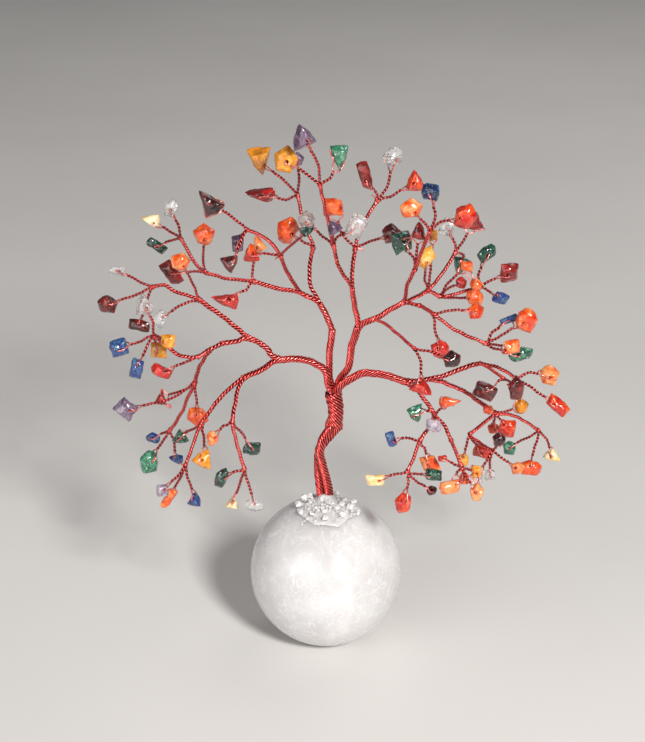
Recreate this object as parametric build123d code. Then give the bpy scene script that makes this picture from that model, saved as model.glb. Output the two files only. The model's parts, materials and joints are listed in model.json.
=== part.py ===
from build123d import *
import math
import os
import random

# A wire tree on a ball: twisted copper wires, each holding one drilled stone chip, stand on a polished
# quartz ball. All sizes are in mm. The origin is the centre of the ball's ground foot, +Z is up, +X is
# to the right and +Y is away from the front.

BALL_RADIUS = 25.0
FOOT_RADIUS = 8.0
BALL_HEIGHT = math.sqrt(BALL_RADIUS**2 - FOOT_RADIUS**2)
BALL_TOP = BALL_HEIGHT + BALL_RADIUS

GAP = 0.05
WIRE_RADIUS = 0.22
HOLE_RADIUS = 0.5
TWIG_RADIUS = 0.45

# A chip's sides are flatter than a round one's by this much. Its corners wander along and across the
# outline by these shares, and its rim by a share of the thickness
SIDE_FLATNESS = 0.8
WANDER_ALONG = 0.15
WANDER_ACROSS = 0.07
RIM_WAVE = 0.12

# A chip's two faces stand this share of its thickness from its middle and are this share of its outline
FACE_LIFT = (0.36, 0.44)
FACE_SHARE = (0.55, 0.75)

# A chip's thickness is this share of its smaller side, and 1 mm more. Its hole sits towards the twig,
# and the loop's wire keeps clear of the stone: its shoulder is at these shares of the stone's reach
# towards the twig and along the hole. A chip is turned at most this many degrees from the front.
CHIP_THICKNESS = 0.6
HOLE_PLACE = 0.25
SIDE_DRILLED = 0.12
NECK = 0.75
CLEARANCE = 0.35
LEG_SPREAD = 0.26
SHOULDER = (0.9, 0.85)
TURN = 30
MIN_BOW = 0.2

WIRE_SIDES = 6
BUNDLE_SIDES = 10

# A rod that leaves a fork at less than this many degrees from another starts beyond it, by no more than
# this share of its length
STEEP_TURN = 80
MOST_BACK = 0.7

# The trunk is two strands that turn about each other below the collar. Each station is the place x and
# z of the trunk's middle and the angle of the right strand about it, with straight steps between
STRAND_RADIUS = 1.15
STRAND_SPREAD = 1.44
STRAND_STEPS = 3
TRUNK_STATIONS = [(0, BALL_TOP + 0.3, 180), (-0.7, 55, 155), (-1.6, 61, 130), (-2.2, 67, 95),
                  (-0.5, 71, 50), (1.5, 74, 20), (2.9, 75.8, 5)]

# The collar of wire that binds the two strands under the limbs
COLLAR_LINE = [(3.2, 0, 76.4), (3.1, 0, 82), (2.4, 0, 88)]
COLLAR_RADIUS = 2.3
COLLAR_WALL = 0.3
BOUND_RADIUS = 0.9
BOUND_SPREAD = 0.96

# The clear glue on the ball's top: how far its rim reaches round the trunk, from +X towards +Y
GLUE_REACH = [9.5, 8.0, 7.0, 7.5, 9.0, 10.0, 10.5, 12.0, 12.5, 11.0]
GLUE_THICKNESS = 0.8
GLUE_CONE = (4.6, 2.4, 4.0)
CONE_SINK = 0.4
STRAND_SINK = 0.5

# Root wires under the glue: the direction each runs in, in degrees from +X, and the angle it reaches
ROOT_WIRES = [(200, 19), (228, 24), (252, 27), (285, 26), (318, 21), (35, 17), (120, 15)]
ROOT_START = 7.5
ROOT_LIFT = 0.3
ROOT_STEPS = 3
ROOT_SWEEP = 9

# Crushed quartz set in the glue: direction, angle from the pole, size and how far it stands out. A
# grain is a block a little longer than it is high and thick, sunk by a share of its size
GRAIN_SHAPE = (1.0, 0.9, 0.8)
GRAIN_SINK = 0.4
GRAIN_LIFT = 0.3
SOCKET_SCALE = 1.06
FIRST_GRAIN_SEED = 1000
GRAINS = [(170, 15, 3.4, 1.0), (192, 11, 2.6, 1.0), (188, 20, 2.8, 0.6), (212, 14, 2.6, 0.8),
          (214, 22, 2.4, 0.4), (240, 13, 2.0, 0.4), (240, 20, 2.0, 0.4), (266, 15, 2.2, 0.3),
          (268, 22, 2.8, 0.4), (300, 14, 2.4, 0.4), (302, 21, 2.8, 0.6), (330, 13, 2.6, 0.8),
          (335, 19, 3.2, 1.0), (5, 13, 2.8, 0.8), (8, 20, 2.4, 0.6), (55, 13, 2.6, 0.6),
          (85, 14, 2.4, 0.6), (145, 14, 2.8, 0.8)]

# Where the bundles of wire divide. L is the left limb, U the upper left, C the upper right, R the right
FORKS = {
    "L0": (0.6, -0.9, 90.5), "L1": (-16, -3, 100), "L2": (-25, 0, 107), "L3": (-40, 6, 117),
    "L4": (-55, 9, 120), "L5": (-33, -4, 106), "L6": (-40, -8, 103), "L7": (-53, -12, 112),
    "L8": (-42, 4, 89), "L9": (-51, 10, 70), "L10": (-26, -10, 97), "L11": (-39, -14, 83),
    "L12": (-44, -19, 71), "L13": (-29, -20, 86), "L14": (-25, -26, 73),
    "U0": (1.4, 1.6, 91), "U1": (2, 3, 108), "U2": (-2, 5, 116), "U3": (-8, 4, 120),
    "U4": (-4, 10, 133), "U5": (-9, 16, 148), "U6": (-14, -4, 135), "U7": (-24, -9, 145),
    "U8": (-23, 6, 123), "U9": (-38, 11, 124), "U10": (-46, 16, 134),
    "C0": (4.1, 1.3, 91), "C1": (10, -2, 111), "C2": (8, -3, 124), "C3": (2, -8, 140),
    "C4": (-2, -12, 160), "C5": (9, 6, 134), "C6": (16, 14, 147), "C7": (15, -3, 114),
    "C8": (27, -16, 109), "C9": (24, -2, 119), "C10": (27, -8, 132), "C11": (31, -13, 146),
    "C12": (32, 6, 120), "C13": (41, 14, 130), "C14": (36, 8, 117), "C15": (49, 12, 119),
    "C16": (29, -5, 119), "C17": (33, -10, 118), "C18": (49, -12, 109),
    "R0": (4.2, -1.6, 90.2), "R1": (25, -4, 93), "R2": (49, 2, 97), "R3": (61, 6, 90),
    "R4": (56, -4, 94), "R5": (55, 10, 76), "R6": (70, 14, 68), "R7": (46, 2, 72),
    "R8": (53, -4, 69), "R9": (34, -12, 85), "R10": (29, -18, 79), "R11": (25, -22, 70),
    "R12": (39, -16, 78), "R13": (42, -22, 72),
}

# Each bundle: its node, its radius, the fork it leaves, the points it passes and the fork it reaches
BUNDLES = [
    ("left_limb", 1.15, "L0", [(0, -1, 95), (-4, -1, 98.5), (-9, -2, 100)], "L1"),
    ("left_upper_branch", 0.9, "L1", [(-19, -2, 104)], "L2"),
    ("left_upper_branch", 0.75, "L2", [(-31, 3, 111)], "L3"),
    ("left_upper_branch", 0.6, "L3", [(-47, 7, 119), (-51, 8, 121)], "L4"),
    ("left_middle_branch", 0.8, "L2", [(-28, -2, 106)], "L5"),
    ("left_middle_branch", 0.65, "L5", [], "L6"),
    ("left_middle_branch", 0.6, "L6", [(-46, -10, 105)], "L7"),
    ("left_outer_branch", 0.65, "L5", [(-37, -2, 102), (-40, 1, 96)], "L8"),
    ("left_outer_branch", 0.55, "L8", [(-45, 6, 82), (-48, 8, 75)], "L9"),
    ("left_drooping_branch", 0.9, "L1", [(-21, -7, 98)], "L10"),
    ("left_drooping_branch", 0.65, "L10", [(-33, -12, 91)], "L11"),
    ("left_drooping_branch", 0.55, "L11", [], "L12"),
    ("left_inner_branch", 0.65, "L10", [(-28, -15, 92)], "L13"),
    ("left_inner_branch", 0.55, "L13", [(-27, -24, 79)], "L14"),
    ("upper_left_limb", 1.1, "U0", [(1, 2, 98)], "U1"),
    ("upper_left_limb", 0.95, "U1", [], "U2"),
    ("upper_left_limb", 0.8, "U2", [], "U3"),
    ("crown_left_branch", 0.65, "U2", [(-5, 7, 122), (-5, 9, 129)], "U4"),
    ("crown_left_branch", 0.55, "U4", [(-7, 12, 140)], "U5"),
    ("upper_left_branch", 0.65, "U3", [(-12, 0, 128)], "U6"),
    ("upper_left_branch", 0.55, "U6", [(-18, -6, 141)], "U7"),
    ("far_left_branch", 0.7, "U3", [(-15, 5, 121)], "U8"),
    ("far_left_branch", 0.6, "U8", [(-30, 8, 123)], "U9"),
    ("far_left_branch", 0.55, "U9", [(-42, 14, 127)], "U10"),
    ("upper_right_limb", 1.2, "C0", [(7, -1, 97), (8, -1, 104)], "C1"),
    ("upper_right_limb", 0.85, "C1", [(9, -2, 117)], "C2"),
    ("crown_middle_branch", 0.65, "C2", [(4, -6, 132)], "C3"),
    ("crown_middle_branch", 0.55, "C3", [(0, -10, 150)], "C4"),
    ("crown_right_branch", 0.65, "C2", [(8, 1, 129)], "C5"),
    ("crown_right_branch", 0.55, "C5", [(11, 9, 140)], "C6"),
    ("upper_right_limb", 0.95, "C1", [], "C7"),
    ("right_middle_branch", 0.5, "C7", [(21, -9, 112)], "C8"),
    ("upper_right_limb", 0.85, "C7", [], "C9"),
    ("upper_right_branch", 0.65, "C9", [(25, -5, 126)], "C10"),
    ("upper_right_branch", 0.55, "C10", [(29, -10, 139)], "C11"),
    ("right_fan_branch", 0.65, "C9", [], "C12"),
    ("right_fan_branch", 0.55, "C12", [(37, 10, 125)], "C13"),
    ("right_tip_branch", 0.6, "C12", [], "C14"),
    ("right_tip_branch", 0.55, "C14", [(43, 10, 118)], "C15"),
    ("right_middle_branch", 0.65, "C9", [], "C16"),
    ("right_middle_branch", 0.6, "C16", [], "C17"),
    ("right_middle_branch", 0.55, "C17", [(40, -11, 113)], "C18"),
    ("right_limb", 1.2, "R0", [(11, -2, 95), (18, -3, 95)], "R1"),
    ("right_long_branch", 0.8, "R1", [(36, -2, 94), (43, 0, 96)], "R2"),
    ("right_long_branch", 0.6, "R2", [(56, 4, 94)], "R3"),
    ("right_long_branch", 0.5, "R2", [], "R4"),
    ("right_lower_branch", 0.75, "R1", [(34, 0, 92), (43, 4, 87), (50, 7, 81)], "R5"),
    ("right_lower_branch", 0.55, "R5", [(62, 12, 74)], "R6"),
    ("right_inner_branch", 0.6, "R5", [], "R7"),
    ("right_inner_branch", 0.55, "R7", [], "R8"),
    ("right_hanging_branch", 0.7, "R1", [(30, -8, 90)], "R9"),
    ("right_hanging_branch", 0.6, "R9", [], "R10"),
    ("right_hanging_branch", 0.55, "R10", [(27, -20, 74)], "R11"),
    ("right_drooping_branch", 0.6, "R9", [(37, -14, 82)], "R12"),
    ("right_drooping_branch", 0.55, "R12", [], "R13"),
]

# Each twig: its fork, its stone, the middle of the stone's chip, the chip's width and height, its lean
# to the right in degrees, how many corners its outline has, and the twig's bow to the left
TWIGS = [
    ("L3", "carnelian", (-45, 2, 131), 7.3, 6.7, 20, 5, -0.5),
    ("L3", "quartz", (-52, 2, 112), 4.7, 6.7, 35, 4, -1.0),
    ("L4", "quartz", (-66, 13, 124), 7.0, 3.3, 20, 4, 0.0),
    ("L4", "garnet", (-69, 7, 115), 7.3, 6.7, 0, 5, 0.5),
    ("L4", "garnet", (-59, 4, 109), 7.7, 4.3, 5, 4, 0.0),
    ("L7", "quartz", (-55, -14, 123), 6.7, 7.7, 0, 3, -1.0),
    ("L7", "lapis", (-64, -10, 107), 6.3, 6.3, -10, 4, 0.5),
    ("L7", "lapis", (-58, -17, 103), 4.7, 7.3, 10, 4, 0.0),
    ("L7", "citrine", (-52, -7, 105), 6, 5.7, 0, 4, 0.0),
    ("L7", "citrine", (-48, -17, 112), 5, 5, 0, 4, 0.0),
    ("L6", "jasper", (-51, -12, 100), 7.7, 4.3, 25, 4, 0.0),
    ("L8", "jasper", (-53, 7, 83), 4.7, 6.3, 10, 3, 0.5),
    ("L8", "amethyst", (-64, 2, 81), 7.6, 6.6, 40, 4, 2.0),
    ("L8", "carnelian", (-41, 1, 79), 8.3, 7.0, 30, 5, 0.0),
    ("L9", "lapis", (-57, 13, 66), 6.0, 4.3, 0, 5, 0.0),
    ("L9", "aventurine", (-58, 7, 60), 7.3, 9.0, 0, 5, 0.0),
    ("L9", "lapis", (-49, 5, 62), 4.3, 5.7, -80, 3, 0.5),
    ("L11", "aventurine", (-46, -10, 77), 6.3, 5.7, 0, 3, 0.0),
    ("L11", "citrine", (-38, -16, 71), 7.3, 7.7, 150, 3, 0.5),
    ("L12", "amethyst", (-51, -22, 64), 4.3, 4.7, 0, 4, 0.5),
    ("L12", "carnelian", (-50, -16, 58), 3.5, 8.3, 30, 4, 0.5),
    ("L12", "lapis", (-41, -22, 61), 5.7, 5.3, 5, 3, 0.0),
    ("L13", "carnelian", (-35, -22, 82), 4.7, 6.0, 0, 5, -1.0),
    ("L13", "aventurine", (-23, -17, 76), 6.7, 5.0, 15, 4, 0.5),
    ("L14", "aventurine", (-32, -29, 72), 4.7, 8.0, 25, 5, -0.5),
    ("L14", "citrine", (-29, -24, 61), 5.3, 5.3, 10, 3, 0.0),
    ("L14", "quartz", (-22, -30, 63), 7.3, 4.7, 25, 5, 0.0),
    ("U4", "carnelian", (-12, 6, 140), 7.7, 10.0, 15, 5, 0.5),
    ("U5", "jasper", (-21, 20, 147), 6, 10.7, -85, 3, 1.5),
    ("U5", "citrine", (-20, 12, 160), 8.3, 10.0, 170, 3, -0.5),
    ("U5", "amethyst", (-9, 19, 159), 4.7, 5.3, 0, 5, -0.5),
    ("U6", "aventurine", (-6, -12, 145), 6.3, 4.0, 180, 3, 0.0),
    ("U6", "carnelian", (-23, -1, 135), 6.0, 7.0, 0, 3, 0.0),
    ("U7", "garnet", (-35, -13, 155), 7.3, 10.0, -35, 3, -0.5),
    ("U7", "garnet", (-29, -13, 135), 6.3, 6.3, 175, 3, 0.0),
    ("U7", "amethyst", (-27, -4, 139), 4.3, 6.3, 0, 4, 0.0),
    ("U8", "carnelian", (-21, 6, 135.5), 5.3, 6.7, -10, 3, 0.5),
    ("U8", "jasper", (-32, 3, 118), 5.7, 10, -80, 3, 1.0),
    ("U9", "carnelian", (-38, 8, 138), 7.7, 7.7, 0, 5, 0.5),
    ("U9", "jasper", (-49, 14, 123), 5.3, 9.3, -35, 4, -0.5),
    ("U10", "quartz", (-49, 19, 143), 4.7, 7.3, 20, 5, -0.5),
    ("U10", "citrine", (-55, 13, 141), 5, 6.6, -80, 3, 0.0),
    ("U10", "aventurine", (-54, 20, 130), 7.7, 3.7, 35, 4, 0.0),
    ("C3", "quartz", (-6, -3, 146), 6.0, 7.0, 0, 5, 0.5),
    ("C3", "quartz", (9, -12, 147), 6.0, 8.3, 20, 4, 1.0),
    ("C3", "amethyst", (2, -15, 147), 6.0, 5.3, -150, 3, 0.0),
    ("C4", "amethyst", (-7, -15, 175.8), 8.6, 8.3, -15, 3, -1.5),
    ("C4", "citrine", (-12, -9, 167), 7.7, 9.3, 10, 5, 0.0),
    ("C4", "aventurine", (4, -8, 167), 6.3, 9.0, 175, 3, -1.5),
    ("C5", "carnelian", (2, 10, 146), 7.0, 6.3, 0, 4, 1.5),
    ("C5", "garnet", (20, 2, 140), 6.7, 7.3, 0, 5, 0.0),
    ("C6", "jasper", (12, 11, 156), 4.3, 10.0, -15, 4, -0.5),
    ("C6", "quartz", (21, 18, 160), 8.3, 6.7, -20, 5, -1.5),
    ("C6", "carnelian", (28, 16, 153), 7.0, 7.7, 0, 3, -1.0),
    ("C8", "garnet", (38, -19, 107), 6.7, 6.0, 0, 5, 0.5),
    ("C8", "carnelian", (29, -21, 99), 9.0, 6.0, 10, 3, 1.0),
    ("C10", "aventurine", (23, -3, 139), 7.3, 7.7, -10, 4, -1.0),
    ("C10", "garnet", (28, -7, 144), 5.3, 6.7, 0, 3, 0.0),
    ("C11", "carnelian", (25, -16, 154), 7.7, 6.7, 0, 5, 0.0),
    ("C11", "lapis", (31, -10, 157), 6.3, 5.7, 0, 4, -1.5),
    ("C11", "carnelian", (41, -17, 152), 7.7, 8.7, 20, 5, 1.0),
    ("C12", "citrine", (31, 1, 133), 5.7, 8.7, 25, 5, 1.0),
    ("C12", "citrine", (33.4, 9, 137.3), 3.3, 4.3, 0, 4, 0.0),
    ("C13", "garnet", (47, 18, 139), 7.0, 6.7, 5, 3, 0.0),
    ("C13", "quartz", (38, 12, 139), 5.3, 6.7, 30, 4, -0.5),
    ("C13", "aventurine", (43, 20, 123), 6.7, 7.0, -165, 3, 2.0),
    ("C14", "jasper", (42, 2, 124), 4.3, 4.7, 0, 5, 1.0),
    ("C14", "carnelian", (44, 9, 127), 4.7, 4.0, 0, 4, 1.0),
    ("C15", "aventurine", (51, 16, 129), 7.3, 5, -30, 4, 1.5),
    ("C15", "garnet", (58, 14, 123), 6.7, 7.3, 0, 4, 0.5),
    ("C15", "lapis", (55, 8, 116.7), 6.0, 4.3, 25, 4, 0.0),
    ("C15", "carnelian", (47, 6, 122), 5.0, 5.0, 0, 5, 0.0),
    ("C14", "carnelian", (46, -1, 120.4), 6.3, 6.7, 0, 5, -0.5),
    ("C17", "jasper", (35, -11, 107), 6.7, 6.7, 0, 5, -0.5),
    ("C17", "carnelian", (46, -7, 118), 6.3, 6.0, 0, 5, 1.0),
    ("C18", "lapis", (56, -9, 116), 6.7, 2.7, -25, 4, 1.0),
    ("C18", "carnelian", (61, -14, 118), 7.3, 8.7, 15, 5, 0.0),
    ("C18", "carnelian", (56, -19, 111), 6.0, 5.0, 0, 4, 0.0),
    ("C18", "aventurine", (60, -10, 105), 9.0, 5.0, -10, 5, -0.5),
    ("R3", "carnelian", (72, 9, 90), 7.3, 7.7, 0, 5, 1.5),
    ("R3", "carnelian", (74, 3, 82), 9, 5, 40, 4, 0.0),
    ("R4", "garnet", (59, -11, 94), 5.7, 9.0, 0, 5, 0.5),
    ("R4", "garnet", (50, -5, 90.3), 7.7, 6.3, 20, 4, -0.5),
    ("R5", "citrine", (64, 14, 77), 5.7, 6.0, 0, 5, -0.5),
    ("R5", "carnelian", (58.5, 5, 73), 6.6, 6.6, 12, 4, 0.0),
    ("R5", "carnelian", (52, 4, 80), 4.0, 3.3, 0, 4, 0.0),
    ("R5", "carnelian", (55, 14, 69), 4.7, 4.7, 0, 5, 0.0),
    ("R6", "citrine", (75, 17, 58), 7.0, 5.0, 0, 3, 1.0),
    ("R6", "carnelian", (67, 11, 56), 9, 6.5, 0, 5, 0.0),
    ("R6", "aventurine", (61, 18, 60), 5.3, 6.0, 0, 5, 0.0),
    ("R7", "citrine", (44, -2, 65), 4.7, 4.7, 0, 5, 0.0),
    ("R7", "carnelian", (51, 6, 64), 7.3, 5.0, 10, 4, 0.0),
    ("R8", "quartz", (53, -1, 59), 4.0, 4.3, 0, 4, -0.5),
    ("R8", "quartz", (48, -9, 62), 3.7, 7.0, 0, 4, 0.0),
    ("R8", "carnelian", (61, -6, 64), 5.3, 4.7, 0, 5, 0.0),
    ("R8", "garnet", (54.5, -10, 76), 5.3, 5.3, 0, 5, -0.5),
    ("R9", "carnelian", (38.5, -15, 91), 4.7, 7.7, 90, 3, 0.5),
    ("R9", "aventurine", (28, -9, 84), 6.3, 7, 170, 3, -1.5),
    ("R9", "amethyst", (33, -19, 85), 5.3, 4.7, 0, 4, 0.0),
    ("R10", "lapis", (20, -21, 81), 3.5, 6.0, -20, 4, -1.0),
    ("R10", "carnelian", (32.5, -16, 70), 6.0, 6.7, -20, 4, 0.5),
    ("R11", "citrine", (15, -25, 69), 7.0, 4.3, 0, 4, -0.5),
    ("R11", "aventurine", (33, -26, 71.3), 6.0, 4.3, 0, 4, 0.0),
    ("R11", "garnet", (33, -20, 63), 4.0, 4.0, 0, 5, -0.5),
    ("R11", "carnelian", (24, -22, 60), 6.7, 7.7, 0, 5, 1.0),
    ("R13", "carnelian", (38, -28, 68), 8.0, 4.7, 0, 4, -0.5),
    ("R13", "carnelian", (36, -20, 74), 3.3, 3.0, 0, 4, 0.0),
    ("R13", "citrine", (47, -17, 68), 3.7, 4.7, 0, 4, 0.0),
    ("R13", "carnelian", (43, -20, 67), 3.7, 4.3, 0, 4, 0.0),
    ("R13", "carnelian", (47, -22, 63.5), 5.3, 7.3, 0, 5, -0.5),
]

LIMB_NAMES = {"L": "left", "U": "upper_left", "C": "upper_right", "R": "right"}


def ring(centre, direction, radius, sides):
    """The corners of a regular polygon across a direction."""
    across = Plane(origin=centre, z_dir=direction)
    turns = [2 * math.pi * k / sides for k in range(sides)]
    return [across.from_local_coords((radius * math.cos(t), radius * math.sin(t), 0)) for t in turns]


def skin(faces):
    """A closed solid from the corner lists of its flat faces."""
    return Solid(Shell([Face(Wire.make_polygon(corners, close=True)) for corners in faces]))


def tube(points, radius, sides):
    """A many-sided rod along straight runs that meet in mitres."""
    points = [Vector(*p) for p in points]
    runs = [(b - a).normalized() for a, b in zip(points, points[1:])]
    rings = [ring(points[0], runs[0], radius, sides)]
    for place, before, after in zip(points[1:], runs, runs[1:] + runs[-1:]):
        normal = (before + after).normalized()
        reach = [normal.dot(place - corner) / normal.dot(before) for corner in rings[-1]]
        rings.append([corner + before * step for corner, step in zip(rings[-1], reach)])
    faces = [list(reversed(rings[0])), rings[-1]]
    for near, far in zip(rings, rings[1:]):
        for k in range(sides):
            n = (k + 1) % sides
            faces.append([near[k], near[n], far[n], far[k]])
    return skin(faces)


def stone(rng, width, height, thickness, corners):
    """A tumbled chip about the origin, broad in X and Z: an outline between two smaller faces. Three or
    five corners point up, and four lie as a block's do."""
    count = 2 * corners
    first = 45 if corners == 4 else 90
    turns = [math.radians(first + 360 * (k + rng.uniform(-WANDER_ALONG, WANDER_ALONG)) / count)
             for k in range(count)]
    side = SIDE_FLATNESS * math.cos(math.pi / corners) + 1 - SIDE_FLATNESS
    reach = [rng.uniform(-WANDER_ACROSS, WANDER_ACROSS) + (side if k % 2 else 1.0) for k in range(count)]
    flat = [(r * math.cos(t), r * math.sin(t)) for r, t in zip(reach, turns)]
    low = [min(p[i] for p in flat) for i in (0, 1)]
    high = [max(p[i] for p in flat) for i in (0, 1)]
    size = (width, height)
    flat = [[size[i] * ((p[i] - low[i]) / (high[i] - low[i]) - 0.5) for i in (0, 1)] for p in flat]
    rim = [Vector(x, rng.uniform(-RIM_WAVE, RIM_WAVE) * thickness, z) for x, z in flat]
    sides = []
    for side in (-1, 1):
        edge = [Vector(x * s, side * thickness * rng.uniform(*FACE_LIFT), z * s)
                for x, z, s in ((x, z, rng.uniform(*FACE_SHARE)) for x, z in flat)]
        sides.append((edge, Vector(0, side * thickness / 2, 0)))
    faces = []
    for (edge, middle), order in zip(sides, (1, -1)):
        for k in range(count):
            n = (k + 1) % count
            for corners_of in ([rim[k], rim[n], edge[n]], [rim[k], edge[n], edge[k]],
                               [edge[k], edge[n], middle]):
                faces.append(corners_of[::order])
    return skin(faces)


def reach_of(solid, centre, direction):
    """How far a solid goes from a point in a direction."""
    return max((Vector(*v) - centre).dot(direction) for v in solid.vertices())


def set_back(fork_arms, direction, radius):
    """How far from its fork a rod must start to stay clear of the rods already there."""
    need = 0
    for arm, arm_radius in fork_arms:
        angle = math.radians(arm.get_angle(direction))
        beside = (arm_radius + GAP + radius * abs(math.cos(angle))) / max(math.sin(angle), GAP)
        turn = math.pi - angle
        beyond = beside
        if turn < math.radians(STEEP_TURN):
            beyond = (GAP + radius * math.sin(turn)) / math.cos(turn)
        need = max(need, min(beside, beyond))
    return need


def start_clear(arms, fork, towards, radius):
    """The first point of a rod that leaves a fork, with the rod noted among the fork's arms."""
    place = Vector(*FORKS[fork])
    run = Vector(*towards) - place
    direction = run.normalized()
    back = min(set_back(arms[fork], direction, radius), MOST_BACK * run.length)
    arms[fork].append((direction, radius))
    return place + direction * back


def lay_bundles(arms):
    """The limbs and branches, as a list of (node, solid)."""
    made = []
    for node, radius, fork, passing, end in BUNDLES:
        route = passing + [FORKS[end]]
        first = start_clear(arms, fork, route[0], radius)
        arrival = Vector(*([tuple(first)] + passing)[-1]) - Vector(*FORKS[end])
        arms[end].append((arrival.normalized(), radius))
        made.append((node, tube([tuple(first)] + route, radius, BUNDLE_SIDES)))
    return made


def hang_chip(arms, rng, fork, centre, size, lean, corners, bow):
    """One drilled chip, its twig and the wire loop that holds it."""
    width, height = size
    centre, place = Vector(*centre), Vector(*FORKS[fork])
    thickness = CHIP_THICKNESS * min(width, height) + 1.0
    turned = Rotation(0, lean, rng.uniform(-TURN, TURN))
    chip = Pos(*centre) * turned * stone(rng, width, height, thickness, corners)
    straight = (centre - place).normalized()
    stop = centre - straight * reach_of(chip, centre, straight * -1)
    bend = (place + stop) * 0.5 + straight.cross(Vector(0, 1, 0)).normalized() * bow
    aim = (centre - bend).normalized()
    through = Vector(0, 1, 0).rotate(Axis.Z, turned.orientation.Z)
    through = (through - aim * through.dot(aim)).normalized()
    if rng.random() < SIDE_DRILLED:
        through = through.cross(aim)
    far = reach_of(chip, centre, aim * -1)
    hole = centre - aim * (HOLE_PLACE * far)
    chip = chip - Plane(hole, z_dir=through) * Cylinder(HOLE_RADIUS, 4 * max(size))
    end = centre - aim * (far + NECK)
    legs = []
    for sign in (1, -1):
        out = through * sign
        wide = reach_of(chip, centre, out)
        back, beside = SHOULDER[0] * far + CLEARANCE, SHOULDER[1] * wide + CLEARANCE
        shoulder = centre - aim * back + out * beside
        legs.append([end + aim * GAP + out * LEG_SPREAD, shoulder, hole + out * (wide + CLEARANCE)])
    loop = tube([tuple(p) for p in legs[0] + legs[1][::-1]], WIRE_RADIUS, WIRE_SIDES)
    first = start_clear(arms, fork, bend, TWIG_RADIUS)
    route = [first, bend, end] if abs(bow) > MIN_BOW else [first, end]
    return chip, [tube([tuple(p) for p in route], TWIG_RADIUS, WIRE_SIDES), loop]


def lay_twigs(arms):
    """Every twig with its chip, as a list of (node, solid)."""
    branch_of = {end: node for node, _, _, _, end in BUNDLES}
    made = []
    for number, (fork, kind, centre, width, height, lean, corners, bow) in enumerate(TWIGS):
        rng = random.Random(number)
        chip, wires = hang_chip(arms, rng, fork, centre, (width, height), lean, corners, bow)
        made.append((f"{LIMB_NAMES[fork[0]]}_{kind}_chips", chip))
        made += [(branch_of[fork], wire) for wire in wires]
    return made


def strand_line(phase, stations, drop):
    """The middle line of a strand that turns about the trunk's line."""
    line = []
    for here, there in zip(stations, stations[1:]):
        line += [[a + (b - a) * step / STRAND_STEPS for a, b in zip(here, there)]
                 for step in range(STRAND_STEPS)]
    line.append(stations[-1])
    turned = [(x, z - drop, math.radians(angle + phase)) for x, z, angle in line]
    return [(x + STRAND_SPREAD * math.cos(t), STRAND_SPREAD * math.sin(t), z) for x, z, t in turned]


def lay_trunk():
    """Two strands, turned about each other, and the collar that binds them."""
    made = []
    for node, phase in (("left_trunk_strand", 180), ("right_trunk_strand", 0)):
        made.append((node, tube(strand_line(phase, TRUNK_STATIONS, 0), STRAND_RADIUS, BUNDLE_SIDES)))
        shift = BOUND_SPREAD * math.cos(math.radians(phase))
        bound = [(x + shift, y, z) for x, y, z in COLLAR_LINE]
        made.append((node, tube(bound, BOUND_RADIUS, BUNDLE_SIDES)))
    outer = tube(COLLAR_LINE, COLLAR_RADIUS, 2 * WIRE_SIDES)
    low, high = COLLAR_LINE[0], COLLAR_LINE[-1]
    bore_line = [(low[0], low[1], low[2] - 1)] + COLLAR_LINE + [(high[0], high[1], high[2] + 1)]
    made.append(("trunk_collar", outer - tube(bore_line, COLLAR_RADIUS - COLLAR_WALL, 2 * WIRE_SIDES)))
    return made


def on_ball(direction, angle, lift):
    """A point over the ball's surface, by its direction from +X and its angle from the pole."""
    radius = BALL_RADIUS + lift
    turn, fall = math.radians(direction), math.radians(angle)
    return (radius * math.sin(fall) * math.cos(turn), radius * math.sin(fall) * math.sin(turn),
            BALL_HEIGHT + radius * math.cos(fall))


def make_ball():
    """The quartz ball with the flat foot that it stands on."""
    ball = Pos(0, 0, BALL_HEIGHT) * Sphere(BALL_RADIUS)
    return ball - Pos(0, 0, -BALL_RADIUS) * Cylinder(2 * BALL_RADIUS, 2 * BALL_RADIUS)


def lay_roots():
    """Wire ends that spread over the ball under the glue."""
    roots = []
    for direction, angle in ROOT_WIRES:
        shares = [k / ROOT_STEPS for k in range(ROOT_STEPS + 1)]
        line = [on_ball(direction + ROOT_SWEEP * s, ROOT_START + (angle - ROOT_START) * s, ROOT_LIFT)
                for s in shares]
        roots.append(tube(line, WIRE_RADIUS, WIRE_SIDES))
    return roots


def lay_grains(scale):
    """The crushed quartz, or with a scale above 1 the sockets that it leaves in the glue."""
    grains = []
    for number, (direction, angle, size, stand) in enumerate(GRAINS):
        rng = random.Random(FIRST_GRAIN_SEED + number)
        grain = stone(rng, *[share * size * scale for share in GRAIN_SHAPE], 4)
        place = on_ball(direction, angle, GRAIN_SINK * size + GRAIN_LIFT * (1 + stand))
        grains.append(Pos(*place) * Rotation(0, 0, direction + 90) * Rotation(90 - angle, 0, 0) * grain)
    return grains


def make_glue(buried):
    """The glue over the ball's top, run up round the trunk and shaped by what it holds."""
    count = len(GLUE_REACH)
    turns = [2 * math.pi * k / count for k in range(count)]
    rim = [(r * math.cos(t), r * math.sin(t)) for r, t in zip(GLUE_REACH, turns)]
    column = Pos(0, 0, BALL_HEIGHT) * extrude(make_face(Polyline(*rim, close=True)), 2 * BALL_RADIUS)
    sheet = column & Pos(0, 0, BALL_HEIGHT) * Sphere(BALL_RADIUS + GLUE_THICKNESS)
    foot, top, rise = GLUE_CONE
    glue = sheet + Pos(0, 0, BALL_TOP + rise / 2 - CONE_SINK) * Cone(foot, top, rise)
    glue = glue - Pos(0, 0, BALL_HEIGHT) * Sphere(BALL_RADIUS + GAP)
    for item in buried:
        glue = glue - item
    return max(glue.solids(), key=lambda s: s.volume)


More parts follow.
